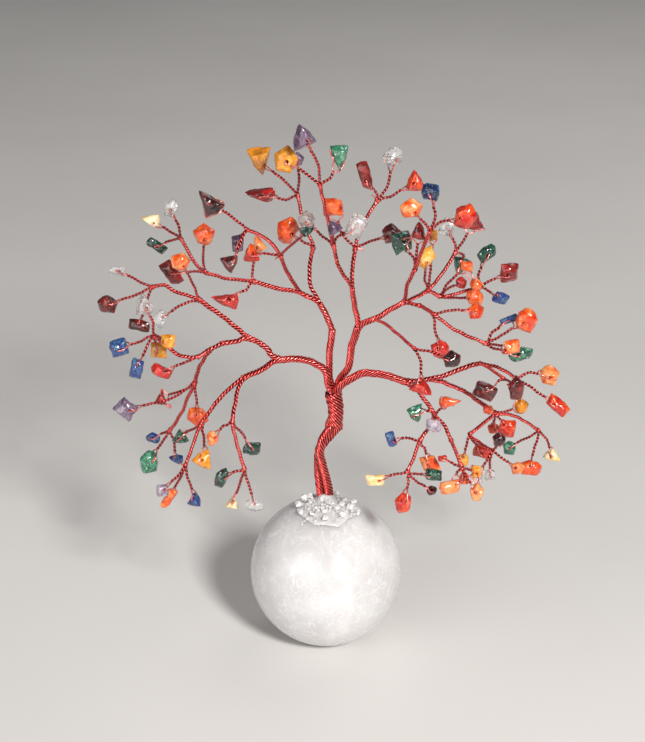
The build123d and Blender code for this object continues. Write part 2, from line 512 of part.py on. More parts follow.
def inflated_strands():
    """The strands' room in the glue."""
    lines = [strand_line(phase, TRUNK_STATIONS[:3], STRAND_SINK) for phase in (180, 0)]
    return [tube(line, STRAND_RADIUS + 2 * GAP, BUNDLE_SIDES) for line in lines]


def main():
    arms = {fork: [] for fork in FORKS}
    pieces = [("crystal_ball", make_ball())]
    pieces += lay_bundles(arms) + lay_twigs(arms) + lay_trunk()
    roots, grains = lay_roots(), lay_grains(1.0)
    pieces += [("root_wires", root) for root in roots]
    pieces += [("quartz_grains", grain) for grain in grains]
    pieces.append(("glue_bed", make_glue(inflated_strands() + lay_grains(SOCKET_SCALE) + roots)))
    nodes = {}
    for node, solid in pieces:
        nodes.setdefault(node, []).extend(solid.solids())
    os.makedirs("parts", exist_ok=True)
    for node, solids in nodes.items():
        export_step(Compound(children=solids) if len(solids) > 1 else solids[0], f"parts/{node}.step")
    print(len(nodes), "nodes,", sum(len(s) for s in nodes.values()), "solids")


main()
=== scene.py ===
"""The looks of a wire tree on a quartz ball: twisted red copper wire, drilled stone chips and clear glue."""

import json
import math
import random

import bmesh
import bpy
import numpy as np
from mathutils import Matrix, Vector, noise
from mathutils.bvhtree import BVHTree

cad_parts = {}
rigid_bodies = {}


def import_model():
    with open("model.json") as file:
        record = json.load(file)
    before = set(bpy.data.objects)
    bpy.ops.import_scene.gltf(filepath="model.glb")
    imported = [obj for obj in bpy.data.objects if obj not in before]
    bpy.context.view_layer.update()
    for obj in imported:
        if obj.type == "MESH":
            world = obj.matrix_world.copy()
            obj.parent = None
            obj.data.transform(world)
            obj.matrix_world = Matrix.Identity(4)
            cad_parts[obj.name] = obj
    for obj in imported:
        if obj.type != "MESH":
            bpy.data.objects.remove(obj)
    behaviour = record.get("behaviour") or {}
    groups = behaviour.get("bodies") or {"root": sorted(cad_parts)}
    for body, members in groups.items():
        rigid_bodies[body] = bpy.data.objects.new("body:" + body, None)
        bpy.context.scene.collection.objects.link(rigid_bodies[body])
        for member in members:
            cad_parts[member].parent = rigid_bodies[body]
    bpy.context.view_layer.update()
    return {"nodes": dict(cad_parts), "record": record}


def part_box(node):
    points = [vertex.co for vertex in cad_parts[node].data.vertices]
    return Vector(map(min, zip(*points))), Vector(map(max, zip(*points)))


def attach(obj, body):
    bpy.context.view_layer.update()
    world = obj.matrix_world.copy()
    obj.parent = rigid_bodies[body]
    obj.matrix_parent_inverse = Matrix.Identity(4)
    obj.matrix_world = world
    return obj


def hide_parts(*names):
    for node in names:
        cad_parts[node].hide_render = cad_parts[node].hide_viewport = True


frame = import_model()
noise.seed_set(11)

MM = 0.001
WIRE = 0.24 * MM
STRAND = 0.31 * MM
TWIG_PITCH = 2.3 * MM
LAY_ANGLE = math.radians(33)
STRAND_GAP = 2.15
KINK_SPACING = 3.2 * MM
TWIG_KINK = 0.35 * MM
BUNDLE_KINK = 0.3 * MM
TWIG_TAIL = 2.0 * MM
BUNDLE_TAIL = 3 * MM
KNOTTED_UNDER = 0.8 * MM
STRAY_SHARE = 0.35
TRUNK_PITCH = 9.5 * MM
TRUNK_SWELL = 1.24
COLLAR_WIRES = 13
COLLAR_DEPTH = 2.2 * MM
SLOT_OF = {part["node"]: part["material_slot"] for part in frame["record"]["subparts"]}

BALL_LOW, BALL_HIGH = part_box("crystal_ball")
BALL_RADIUS = (BALL_HIGH.x - BALL_LOW.x) / 2
BALL_CENTRE = Vector((0, 0, BALL_HIGH.z - BALL_RADIUS))


# ---------------------------------------------------------------- the plan, read from the frame

def islands(node):
    """The separate solids of a CAD node, welded, with their flat faces whole again."""
    mesh = bmesh.new()
    mesh.from_mesh(frame["nodes"][node].data)
    bmesh.ops.remove_doubles(mesh, verts=mesh.verts, dist=0.002 * MM)
    bmesh.ops.dissolve_limit(mesh, angle_limit=math.radians(0.4), verts=mesh.verts, edges=mesh.edges)
    seen, found = set(), []
    for start in mesh.verts:
        if start in seen:
            continue
        group, todo = [], [start]
        seen.add(start)
        while todo:
            here = todo.pop()
            group.append(here)
            for edge in here.link_edges:
                there = edge.other_vert(here)
                if there not in seen:
                    seen.add(there)
                    todo.append(there)
        found.append(group)
    return mesh, found


def is_cap(face):
    """Whether a face is a rod's end: a regular polygon of more than four corners."""
    middle = face.calc_center_median()
    reach = [(vert.co - middle).length for vert in face.verts]
    return len(reach) > 4 and max(reach) < 1.02 * min(reach)


def rod_line(group):
    """The corner points of a rod's middle line, its radius and its number of sides."""
    faces = dict.fromkeys(face for vert in group for face in vert.link_faces)
    caps = [face for face in faces if is_cap(face)]
    if len(caps) != 2:
        return None
    here, line, used = list(caps[0].verts), [], set()
    while here:
        line.append(sum((vert.co for vert in here), Vector()) / len(here))
        used.update(here)
        ahead = dict.fromkeys(edge.other_vert(vert) for vert in here for edge in vert.link_edges)
        here = [vert for vert in ahead if vert not in used]
    return line, (caps[0].verts[0].co - line[0]).length, len(caps[0].verts)


def read_rods():
    """Every rod of the wire nodes, as dicts of its node, line, radius and kind."""
    rods = []
    for node, slot in SLOT_OF.items():
        if slot != "red_wire" or node == "trunk_collar":
            continue
        mesh, groups = islands(node)
        for line, radius, sides in filter(None, map(rod_line, groups)):
            kind = "bundle" if sides > 6 else "twig" if radius > 0.3 * MM else "loop"
            rods.append({"node": node, "line": line, "radius": radius,
                         "kind": "root" if node == "root_wires" else kind})
        mesh.free()
    return rods


def grow(bundles, base):
    """Turns every bundle to run outward from the trunk, and notes the bundle that it leaves."""
    ends, waiting = [(base, None)], list(bundles)
    while waiting:
        gap, rod, flip, parent = min(
            (((rod["line"][-1 if flip else 0] - place).length, rod, flip, parent)
             for rod in waiting for flip in (False, True) for place, parent in ends),
            key=lambda found: found[0])
        if flip:
            rod["line"].reverse()
        rod["parent"] = parent
        ends.append((rod["line"][-1], rod))
        waiting.remove(rod)
    return ends[1:]


def join_twigs(twigs, loops, ends):
    """Gives each twig its loop and its parent, and turns it to run from the parent to the loop."""
    for twig in twigs:
        pairs = ((((loop["line"][0] + loop["line"][-1]) / 2 - twig["line"][side]).length, loop, side)
                 for loop in loops for side in (0, -1))
        _, twig["loop"], side = min(pairs, key=lambda found: found[0])
        if side == 0:
            twig["line"].reverse()
        twig["parent"] = min(ends, key=lambda end: (end[0] - twig["line"][0]).length)[1]


# ---------------------------------------------------------------- wire

def smooth_line(points, step):
    """Evenly spaced points on a smooth curve through the given ones."""
    points = [Vector(p) for p in points]
    padded = [2 * points[0] - points[1]] + points + [2 * points[-1] - points[-2]]
    fine = []
    for p0, p1, p2, p3 in zip(padded, padded[1:], padded[2:], padded[3:]):
        for k in range(12):
            t = k / 12
            fine.append(0.5 * (2 * p1 + (p2 - p0) * t + (2 * p0 - 5 * p1 + 4 * p2 - p3) * t**2
                               + (3 * p1 - p0 - 3 * p2 + p3) * t**3))
    fine.append(points[-1])
    fine = np.array(fine)
    run = np.concatenate([[0], np.cumsum(np.linalg.norm(np.diff(fine, axis=0), axis=1))])
    count = max(3, int(run[-1] / step) + 1)
    at = np.linspace(0, run[-1], count)
    return np.stack([np.interp(at, run, fine[:, axis]) for axis in range(3)], axis=1)


def kink(line, amount):
    """Slight, even-handed kinks in a line, none at its ends."""
    share = np.sqrt(np.sin(np.linspace(0, math.pi, len(line))).clip(0))
    sway = np.array([noise.noise_vector(Vector(place) / KINK_SPACING) for place in line])
    return line + sway * (share * amount)[:, None]


def frames_along(line, start=(0.3, -1, 0.2)):
    """Two directions across a line at each of its points, carried along without twisting."""
    along = np.gradient(line, axis=0)
    along /= np.linalg.norm(along, axis=1)[:, None]
    side = np.array(start, float)
    first = np.empty_like(line)
    for k, way in enumerate(along):
        side = side - way * side.dot(way)
        side /= np.linalg.norm(side)
        first[k] = side
    return first, np.cross(along, first)


class WireMesh:
    """Gathers closed tubes of wire into one mesh."""

    def __init__(self):
        self.points, self.faces, self.shade, self.count = [], [], [], 0

    def add(self, line, radius, sides=6, outward=None, deep=0.0):
        """One tube along a line. Radius is a number, or one for each point. The last argument adds painted
        shade, and is 1 for a hidden core painted near-black.
        """
        line = np.asarray(line, float)
        if outward is None:
            first, second = frames_along(line)
        else:
            along = np.gradient(line, axis=0)
            along /= np.linalg.norm(along, axis=1)[:, None]
            first = outward - along * np.sum(outward * along, axis=1)[:, None]
            first /= np.linalg.norm(first, axis=1)[:, None]
            second = np.cross(along, first)
        turns = np.arange(sides) * 2 * math.pi / sides
        across = (first[:, None] * np.cos(turns)[None, :, None]
                  + second[:, None] * np.sin(turns)[None, :, None])
        rings = line[:, None] + across * np.reshape(radius, (-1, 1, 1))
        count, start = len(line), self.count
        self.points.append(rings.reshape(-1, 3))
        # Painted shade and highlight: each wire's side toward the gaps between wires is marked from 0 on its
        # outer crest to 1 on its inner side; the material paints the crest pale and the inner side
        # near-black.
        painted_groove_shade = 0.5 - 0.5 * np.cos(turns) if outward is not None else np.zeros(sides)
        self.shade += np.tile(np.clip(painted_groove_shade + deep, 0, 1), len(line)).tolist()
        for k in range(count - 1):
            low, high = start + k * sides, start + (k + 1) * sides
            self.faces += [(low + s, low + (s + 1) % sides, high + (s + 1) % sides, high + s)
                           for s in range(sides)]
        last = start + (count - 1) * sides
        self.faces.append(tuple(start + s for s in reversed(range(sides))))
        self.faces.append(tuple(last + s for s in range(sides)))
        self.count += count * sides

    def build(self, name):
        mesh = bpy.data.meshes.new(name)
        mesh.from_pydata(np.concatenate(self.points).tolist(), [], self.faces)
        # The painted-shade mark of every point, which the wire material reads.
        mesh.attributes.new("deep", "FLOAT", "POINT").data.foreach_set("value", self.shade)
        mesh.shade_smooth()
        piece = bpy.data.objects.new(name, mesh)
        bpy.context.scene.collection.objects.link(piece)
        return piece


def helix(line, spread, pitch, phase):
    """A strand that turns about a line, and its outward directions. Pitch is the length of a turn."""
    first, second = frames_along(line)
    run = np.concatenate([[0], np.cumsum(np.linalg.norm(np.diff(line, axis=0), axis=1))])
    turn = phase - 2 * math.pi * run / pitch
    outward = first * np.cos(turn)[:, None] + second * np.sin(turn)[:, None]
    return line + outward * np.reshape(spread, (-1, 1)), outward


def lay_bundle(wires, line, radius, rng, pitch=None):
    """A cable of wires laid round a core, of a given outer radius."""
    spread = radius - 0.8 * STRAND
    mean = float(np.mean(spread))
    pitch = pitch or 2 * math.pi * mean / math.tan(LAY_ANGLE)
    around = math.hypot(pitch, 2 * math.pi * mean) / pitch
    count = max(3, round(2 * math.pi * mean / (STRAND_GAP * STRAND * around)))
    wave = 1 + 0.05 * np.sin(np.arange(len(line)) * 0.13 + rng.uniform(0, 6))
    for k in range(count):
        uneven = rng.uniform(0.94, 1.04)
        strand, outward = helix(line, spread * uneven * wave, pitch, 2 * math.pi * k / count)
        wires.add(strand, STRAND * rng.uniform(0.92, 1.06), 8, outward)
    if mean > 1.4 * STRAND:
        # The hidden core is painted near-black, as painted shade seen between the wires.
        wires.add(line, spread - 0.45 * STRAND, 8, deep=1.0)


def tail_of(rod, length):
    """The last stretch of the rod that another one leaves, so that the wires come out of it."""
    if rod is None:
        return [trunk_top() - Vector((0, 0, COLLAR_DEPTH))]
    end, before = rod["line"][-1], rod["line"][-2]
    back = min(length, 0.8 * (end - before).length)
    return [end + (before - end).normalized() * back]


def lay_twig(wires, twig, chips, rng):
    """One wire, folded through its chip's hole and twisted back on itself down the twig."""
    route = tail_of(twig["parent"], TWIG_TAIL) + twig["line"]
    line = kink(smooth_line(route, 0.17 * MM), TWIG_KINK)
    legs = np.array(twig["loop"]["line"])
    ends = (legs[0], legs[-1])
    first, second = frames_along(line)
    run = float(np.sum(np.linalg.norm(np.diff(line, axis=0), axis=1)))
    out = ends[0] - line[-1]
    last = math.atan2(out.dot(second[-1]), out.dot(first[-1]))
    phase = last + 2 * math.pi * run / TWIG_PITCH
    up, up_out = helix(line, WIRE * 1.1, TWIG_PITCH, phase)
    down, down_out = helix(line, WIRE * 1.1, TWIG_PITCH, phase + math.pi)
    loop = hug(smooth_line([up[-1], *legs[1:-1], down[-1]], 0.2 * MM), chips)
    wires.add(up, WIRE, 6, up_out)
    wires.add(down, WIRE, 6, down_out)
    wires.add(loop, 0.92 * WIRE, 6)


def tie_knot(wires, rod, rng):
    """A turn or two of wire round the end of a branch, where its twigs part."""
    end, before = rod["line"][-1], rod["line"][-2]
    way = (end - before).normalized()
    turns = rng.uniform(1.6, 2.6)
    length = 0.75 * WIRE * 2 * turns
    line = smooth_line([end - way * length, end - way * 0.5 * length, end], 0.06 * MM)
    coil, outward = helix(line, rod["radius"] + 0.2 * WIRE, length / turns, rng.uniform(0, 6))
    wires.add(coil, WIRE, 6, outward)
    if rng.random() < STRAY_SHARE:
        stray = Vector(outward[-1]) * rng.uniform(1.2, 2.2) * MM + way * rng.uniform(-0.4, 1.2) * MM
        tail = [Vector(coil[-1]), Vector(coil[-1]) + stray * 0.5 + way * 0.2 * MM, Vector(coil[-1]) + stray]
        wires.add(smooth_line(tail, 0.2 * MM), 0.9 * WIRE, 6)


def hug(line, chips):
    """Draws a wire loop in, to lie on the stone that it holds."""
    count = len(line)
    drawn = np.array(line)
    for k, place in enumerate(line):
        share = min(k, count - 1 - k) / (0.5 * count)
        near, normal, _, distance = chips.find_nearest(Vector(place))
        if near is None or (Vector(place) - near).dot(normal) < 0:
            continue
        want = WIRE * 1.05
        pull = min(1.0, share * 4) * max(0.0, distance - want)
        drawn[k] = np.array(place) - np.array((Vector(place) - near).normalized()) * pull
    for _ in range(2):
        drawn[1:-1] = (drawn[:-2] + 2 * drawn[1:-1] + drawn[2:]) / 4
    return drawn


def dress_wires(wires, rods, rng, chips):
    """Fills the wire meshes of the limbs, branches, twigs and loops, one mesh for each node."""
    for rod in rods:
        mesh = wires.setdefault(rod["node"], WireMesh())
        if rod["kind"] == "bundle":
            spread = rod["radius"] - 0.8 * STRAND
            pitch = 2 * math.pi * spread / math.tan(LAY_ANGLE)
            line = smooth_line(tail_of(rod.get("parent"), BUNDLE_TAIL) + rod["line"], pitch / 13)
            lay_bundle(mesh, kink(line, BUNDLE_KINK), rod["radius"], rng)
            if rod["radius"] < KNOTTED_UNDER:
                tie_knot(mesh, rod, rng)
        elif rod["kind"] == "twig":
            lay_twig(mesh, rod, chips, rng)
        elif rod["kind"] == "root":
            mesh.add(smooth_line(rod["line"], 0.3 * MM), WIRE, 8)


# ---------------------------------------------------------------- trunk

def trunk_top():
    """The middle of the collar's upper rim."""
    low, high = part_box("trunk_collar")
    return Vector(((low.x + high.x) / 2, 0, high.z))


def dress_trunk(wires, rods, rng):
    """The two thick strands under the collar, and the short bound stretch inside it."""
    for node in sorted({rod["node"] for rod in rods}):
        lower, bound = sorted((rod for rod in rods if rod["node"] == node), key=lambda rod: rod["line"][0].z)
        route = [*sorted(lower["line"], key=lambda p: p.z), *sorted(bound["line"], key=lambda p: p.z)[1:]]
        line = smooth_line(route, 0.5 * MM)
        inside = np.clip((line[:, 2] - 72 * MM) / (6 * MM), 0, 1)
        radius = TRUNK_SWELL * lower["radius"] * (1 - inside) + bound["radius"] * inside
        mesh = wires.setdefault(node, WireMesh())
        lay_bundle(mesh, line, radius, rng, pitch=TRUNK_PITCH)


def collar_line():
    """The middle line of the collar, from its lower rim to where the limbs leave it."""
    mesh, groups = islands("trunk_collar")
    rims = {}
    for vert in groups[0]:
        rims.setdefault(round(vert.co.z / (1.2 * MM)), []).append(vert.co.copy())
    mesh.free()
    return [sum(rim, Vector()) / len(rim) for _, rim in sorted(rims.items()) if len(rim) >= 12]


def wrap_collar(rng):
    """The wires that bind the trunk: a steep lay, fuller at the top than at the bottom."""
    wires = WireMesh()
    low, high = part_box("trunk_collar")
    outer = (high.x - low.x) / 2
    line = smooth_line(collar_line(), 0.3 * MM)
    run = np.linspace(0, 1, len(line))
    spread = (outer - 1.2 * STRAND) * (0.80 + 0.26 * run**0.8)
    spread = spread * (1 + 0.05 * np.sin(run * 37))
    pitch = 2 * math.pi * outer * 0.85
    for k in range(COLLAR_WIRES):
        phase = 2 * math.pi * k / COLLAR_WIRES
        strand, outward = helix(line, spread * rng.uniform(0.965, 1.03), pitch, phase)
        wires.add(strand, STRAND * rng.uniform(0.95, 1.25), 8, outward)
    # The hidden core is painted near-black, as painted shade seen between the wires.
    wires.add(line, spread - 0.45 * STRAND, 16, deep=1.0)
    return wires


# ---------------------------------------------------------------- stones

def grid_noise(points, scale, seed):
    """Smooth noise from -1 to 1 at each of some points."""
    shift = Vector((seed * 7.3, seed * 3.1, seed * 5.7))
    return np.array([noise.noise(Vector(p) * scale + shift) for p in points])


def parts_of(mesh):
    """The number of the separate stone that each point of a mesh is in."""
    parent = list(range(len(mesh.vertices)))

    def root(k):
        while parent[k] != k:
            parent[k] = parent[parent[k]]
            k = parent[k]
        return k

    for edge in mesh.edges:
        a, b = (root(v) for v in edge.vertices)
        parent[a] = b
    roots = [root(k) for k in range(len(parent))]
    order = {r: n for n, r in enumerate(dict.fromkeys(roots))}
    return np.array([order[r] for r in roots])


def soften(node, voxel, rounds):
    """A copy of a CAD node as an even mesh with worn edges."""
    source = frame["nodes"][node]
    piece = bpy.data.objects.new(node + "_look", source.data.copy())
    bpy.context.scene.collection.objects.link(piece)
    piece.data.materials.clear()
    remesh = piece.modifiers.new("even", "REMESH")
    remesh.mode = "VOXEL"
    remesh.voxel_size = voxel
    smooth = piece.modifiers.new("worn", "SMOOTH")
    smooth.iterations = rounds
    smooth.factor = 0.5
    apply_modifiers(piece)
    return piece


def apply_modifiers(piece):
    graph = bpy.context.evaluated_depsgraph_get()
    mesh = bpy.data.meshes.new_from_object(piece.evaluated_get(graph))
    piece.modifiers.clear()
    piece.data = mesh


def carve(piece, depth, size, seed):
    """Dents a stone's surface inward by noise."""
    mesh = piece.data
    count = len(mesh.vertices)
    places, normals = np.empty(count * 3), np.empty(count * 3)
    mesh.vertices.foreach_get("co", places)
    mesh.vertices.foreach_get("normal", normals)
    places, normals = places.reshape(-1, 3), normals.reshape(-1, 3)
    dents = grid_noise(places, 1 / size, seed) + 0.4 * grid_noise(places, 2.7 / size, seed + 1)
    scoops = np.array([noise.voronoi(Vector(p) / (1.7 * size))[0][0] for p in places])
    hollow = np.clip(1 - 1.6 * scoops, 0, None)
    places -= normals * ((np.clip(dents + 0.2, 0, None) * 0.5 + 1.5 * hollow) * depth)[:, None]
    mesh.vertices.foreach_set("co", places.ravel())
    mesh.shade_smooth()


STONE_VOXEL = 0.25 * MM
STONE_ROUNDS = 30
STONE_DENTS = 0.22 * MM
STONE_DENT_SIZE = 1.5 * MM
TONE_REACH = 1.5
SPARE_TONES = (0.45, 0.85)

# How pale each stone is, from 0 to 1, by the place of its middle in mm: to the right, and up. A stone
# with none within TONE_REACH gets one between the spare tones.
TONES = {
    (-45, 131): 0.75, (-41, 79): 0.66, (-50, 58): 0.75, (-35, 82): 0.88, (-12, 140): 0.60, (-23, 135): 0.45,
    (-21, 135.5): 0.78, (-38, 138): 0.62, (2, 146): 0.58, (29, 99): 0.28, (25, 154): 0.76, (41, 152): 0.45,
    (44, 127): 0.70, (47, 122): 0.74, (46, 120.4): 0.64, (46, 118): 0.52, (61, 118): 0.62, (56, 111): 0.72,
    (72, 90): 0.84, (74, 82): 0.50, (58.5, 73): 0.42, (52, 80): 0.62, (55, 69): 0.60, (67, 56): 0.60,
    (51, 64): 0.36, (61, 64): 0.74, (38.5, 91): 0.60, (32.5, 70): 0.70, (24, 60): 0.42, (38, 68): 0.82,
    (36, 74): 0.36, (43, 67): 0.70, (47, 63.5): 0.84, (28, 153): 0.46,
    (-51, 100): 0.56, (-53, 83): 0.42, (-21, 147): 0.40, (-32, 118): 0.54, (-49, 123): 0.30,
    (12, 156): 0.26, (42, 124): 0.50, (35, 107): 0.70,
    (-69, 115): 0.30, (-59, 109): 0.22, (-35, 155): 0.16, (-29, 135): 0.30, (20, 140): 0.34, (38, 107): 0.06,
    (28, 144): 0.42, (47, 139): 0.42, (58, 123): 0.56, (59, 94): 0.38, (50, 90.3): 0.34, (54.5, 76): 0.16,
    (33, 63): 0.30,
    (-58, 60): 0.58, (-46, 77): 0.32, (-23, 76): 0.10, (-32, 72): 0.12, (-6, 145): 0.12, (-54, 130): 0.14,
    (4, 167): 0.52, (23, 139): 0.18, (43, 123): 0.32, (51, 129): 0.26, (60, 105): 0.46, (61, 60): 0.56,
    (28, 84): 0.48, (33, 71.3): 0.28,
    (-64, 107): 0.42, (-58, 103): 0.46, (-57, 66): 0.26, (-49, 62): 0.46, (-41, 61): 0.28, (31, 157): 0.12,
    (55, 116.7): 0.40, (56, 116): 0.50, (20, 81): 0.48,
    (-52, 105): 0.42, (-48, 112): 0.36, (-38, 71): 0.36, (-29, 61): 0.92, (-20, 160): 0.30, (-55, 141): 0.94,
    (-12, 167): 0.36, (31, 133): 0.62, (33.4, 137.3): 0.30, (64, 77): 0.30, (75, 58): 0.90, (44, 65): 0.52,
    (15, 69): 0.86, (47, 68): 0.50,
    (-64, 81): 0.62, (-51, 64): 0.80, (-9, 159): 0.60, (-27, 139): 0.40, (2, 147): 0.46, (-7, 175.8): 0.50,
    (33, 85): 0.90,
}


def cut_stones(node):
    """The chips of one node, with a tone for each stone."""
    piece = soften(node, STONE_VOXEL, STONE_ROUNDS)
    carve(piece, STONE_DENTS, STONE_DENT_SIZE, len(node))
    rng = random.Random(node)
    groups = parts_of(piece.data)
    places = np.empty(len(groups) * 3)
    piece.data.vertices.foreach_get("co", places)
    places = places.reshape(-1, 3)
    tones = np.empty(len(groups))
    for number in range(groups.max() + 1):
        inside = groups == number
        middle = places[inside].mean(axis=0) / MM
        gap, tone = min((math.dist(spot, (middle[0], middle[2])), tone) for spot, tone in TONES.items())
        tones[inside] = tone if gap < TONE_REACH else rng.uniform(*SPARE_TONES)
    layer = piece.data.attributes.new("tone", "FLOAT", "POINT")
    layer.data.foreach_set("value", tones)
    return piece


# ---------------------------------------------------------------- base

def turn_ball():
    """The polished ball: rings from the pole to its ground foot."""
    foot = -math.asin(min(1, BALL_CENTRE.z / BALL_RADIUS))
    mesh = bmesh.new()
    around, stack = 160, 100
    rings = []
    for k in range(1, stack + 1):
        tilt = math.pi / 2 + (foot - math.pi / 2) * k / stack
        rings.append([mesh.verts.new(BALL_CENTRE + BALL_RADIUS * Vector((
            math.cos(tilt) * math.cos(2 * math.pi * n / around),
            math.cos(tilt) * math.sin(2 * math.pi * n / around), math.sin(tilt)))) for n in range(around)])
    pole = mesh.verts.new(BALL_CENTRE + Vector((0, 0, BALL_RADIUS)))
    for n in range(around):
        m = (n + 1) % around
        mesh.faces.new((pole, rings[0][n], rings[0][m]))
        for upper, lower in zip(rings, rings[1:]):
            mesh.faces.new((upper[n], lower[n], lower[m], upper[m]))
    mesh.faces.new(list(reversed(rings[-1])))
    data = bpy.data.meshes.new("crystal_ball_look")
    mesh.to_mesh(data)
    mesh.free()
    data.shade_smooth()
    data.polygons[len(data.polygons) - 1].use_smooth = False
    piece = bpy.data.objects.new("crystal_ball_look", data)
    bpy.context.scene.collection.objects.link(piece)
    return piece


CRUMBS = 150
HEAP_CRUMBS = 70

# Where the crushed quartz is heaped: the heap's foot in mm, its spread and its height
HEAPS = [((-4.6, -2.8, 47.6), 2.2, 4.6), ((7.6, -3.4, 46.8), 3.0, 2.8), ((2.6, -5.0, 47.4), 2.6, 1.8),
         ((-6.4, -7.6, 45.2), 2.6, 1.2), ((0.2, -4.0, 49.0), 3.0, 3.2)]


def scatter_crumbs(piece, glue):
    """Adds small broken splinters of quartz, half sunk in the glue."""
    rng = random.Random(31)
    mesh = bmesh.new()
    mesh.from_mesh(piece.data)
    for _ in range(CRUMBS):
        turn, fall = rng.uniform(0, 2 * math.pi), math.radians(rng.uniform(9, 25))
        way = Vector((math.sin(fall) * math.cos(turn), math.sin(fall) * math.sin(turn), math.cos(fall)))
        hit, _, _, _ = glue.ray_cast(BALL_CENTRE + way * 1.4 * BALL_RADIUS, -way)
        if hit is not None:
            add_splinter(mesh, hit + way * 0.1 * MM, rng.uniform(0.35, 0.95) * MM, rng)
    for place, spread, height in HEAPS:
        for _ in range(HEAP_CRUMBS):
            turn, far = rng.uniform(0, 2 * math.pi), math.sqrt(rng.random())
            rise = rng.random() * (1 - 0.8 * far)
            offset = Vector((spread * far * math.cos(turn), spread * far * math.sin(turn), height * rise))
            add_splinter(mesh, Vector(place) * MM + offset * MM, rng.uniform(0.35, 0.8) * MM, rng)
    mesh.to_mesh(piece.data)
    mesh.free()


def add_splinter(mesh, place, size, rng):
    """One broken bit of quartz with flat sides."""
    way = Vector((rng.random(), rng.random(), rng.random()))
    turned = Matrix.Translation(place) @ way.to_track_quat("Z", "Y").to_matrix().to_4x4()
    shape = turned @ Matrix.Diagonal((size, size * rng.uniform(0.5, 0.9), size * rng.uniform(0.5, 1.3), 1))
    made = bmesh.ops.create_icosphere(mesh, subdivisions=1, radius=1.0, matrix=shape)
    for vert in made["verts"]:
        vert.co += (vert.co - place) * rng.uniform(-0.35, 0.15)


# ---------------------------------------------------------------- materials

class Nodes:
    """A small helper for one material's node tree."""

    def __init__(self, name):
        self.material = bpy.data.materials.new(name)
        self.material.use_nodes = True
        self.tree = self.material.node_tree
        self.shader = self.tree.nodes["Principled BSDF"]
        self.place = self.tree.nodes.new("ShaderNodeTexCoord").outputs["Object"]

    def add(self, kind, **values):
        node = self.tree.nodes.new(kind)
        for key, value in values.items():
            setattr(node, key, value)
        return node

    def link(self, source, target):
        self.tree.links.new(source, target)

    def noise(self, size, detail=3, rough=0.5, warp=0.0):
        """A noise pattern with features of a given size."""
        node = self.add("ShaderNodeTexNoise")
        self.link(self.place, node.inputs["Vector"])
        node.inputs["Scale"].default_value = 1 / size
        node.inputs["Detail"].default_value = detail
        node.inputs["Roughness"].default_value = rough
        node.inputs["Distortion"].default_value = warp
        return node.outputs["Fac"]

    def ramp(self, source, *stops):
        """A colour ramp of (place, colour) stops."""
        node = self.add("ShaderNodeValToRGB")
        self.link(source, node.inputs["Fac"])
        band = node.color_ramp
        while len(band.elements) < len(stops):
            band.elements.new(0.5)
        for element, (place, colour) in zip(band.elements, stops):
            element.position = place
            element.color = (*colour, 1) if len(colour) == 3 else colour
        return node.outputs["Color"]

    def between(self, source, low, high):
        """A number that runs from low to high with a pattern."""
        node = self.add("ShaderNodeMapRange")
        self.link(source, node.inputs["Value"])
        node.inputs["From Min"].default_value = 0.3
        node.inputs["From Max"].default_value = 0.7
        node.inputs["To Min"].default_value = low
        node.inputs["To Max"].default_value = high
        return node.outputs["Result"]

    def sum(self, first, second, weight):
        """first + second * weight"""
        node = self.add("ShaderNodeMath", operation="MULTIPLY_ADD")
        self.link(second, node.inputs[0])
        node.inputs[1].default_value = weight
        self.link(first, node.inputs[2])
        return node.outputs["Value"]

    def mix(self, amount, first, second):
        """Two colours mixed by a pattern."""
        node = self.add("ShaderNodeMix", data_type="RGBA")
        self.link(amount, node.inputs["Factor"])
        colours = [s for s in node.inputs if s.type == "RGBA"]
        for socket, source in zip(colours, (first, second)):
            self.link(source, socket)
        return [s for s in node.outputs if s.type == "RGBA"][0]

    def bump(self, source, depth):
        node = self.add("ShaderNodeBump")
        self.link(source, node.inputs["Height"])
        node.inputs["Distance"].default_value = depth
        self.link(node.outputs["Normal"], self.shader.inputs["Normal"])

    def set(self, **values):
        for name, value in values.items():
            self.shader.inputs[name.replace("_", " ")].default_value = value


def wire_material():
    """Red enamelled copper: dark red in random patches, with fine scratches; a painted pale pink highlight
    on each wire's outer crest, and painted near-black shade in the grooves between wires and on the hidden
    cores.
    """
    kit = Nodes("red_wire")
    patches = kit.noise(1.6 * MM, 4, 0.6)
    colour = kit.ramp(patches, (0.3, (0.36, 0.008, 0.012)), (0.52, (0.66, 0.014, 0.016)),
                      (0.72, (0.84, 0.05, 0.035)))
    # Near-black painted shade for the grooves between wires and for the hidden cores.
    gap = kit.ramp(patches, (0.0, (0.030, 0.001, 0.002)), (1.0, (0.06, 0.002, 0.004)))
    deep = kit.add("ShaderNodeAttribute", attribute_name="deep").outputs["Fac"]
    # Masks from the painted-shade mark: painted shade in the grooves, and a painted highlight on the outer
    # crests.
    painted_groove_shade = kit.ramp(deep, (0.12, (0, 0, 0)), (0.46, (1, 1, 1)))
    painted_crest_highlight = kit.ramp(deep, (0.0, (0.6, 0.6, 0.6)), (0.12, (0, 0, 0)))
    # The pale pink of the painted crest highlight, which varies with the patches.
    worn = kit.ramp(patches, (0.3, (0.85, 0.09, 0.07)), (0.62, (0.95, 0.46, 0.40)))
    colour_with_painted_highlight = kit.mix(painted_crest_highlight, colour, worn)
    kit.link(kit.mix(painted_groove_shade, colour_with_painted_highlight, gap), kit.shader.inputs["Base Color"])
    kit.link(kit.between(kit.noise(0.5 * MM, 3), 0.22, 0.38), kit.shader.inputs["Roughness"])
    kit.bump(kit.noise(0.3 * MM, 2), 0.02 * MM)
    kit.set(Metallic=0.9, Coat_Weight=0.6, Coat_Roughness=0.16, Specular_IOR_Level=0.6)
    return kit.material


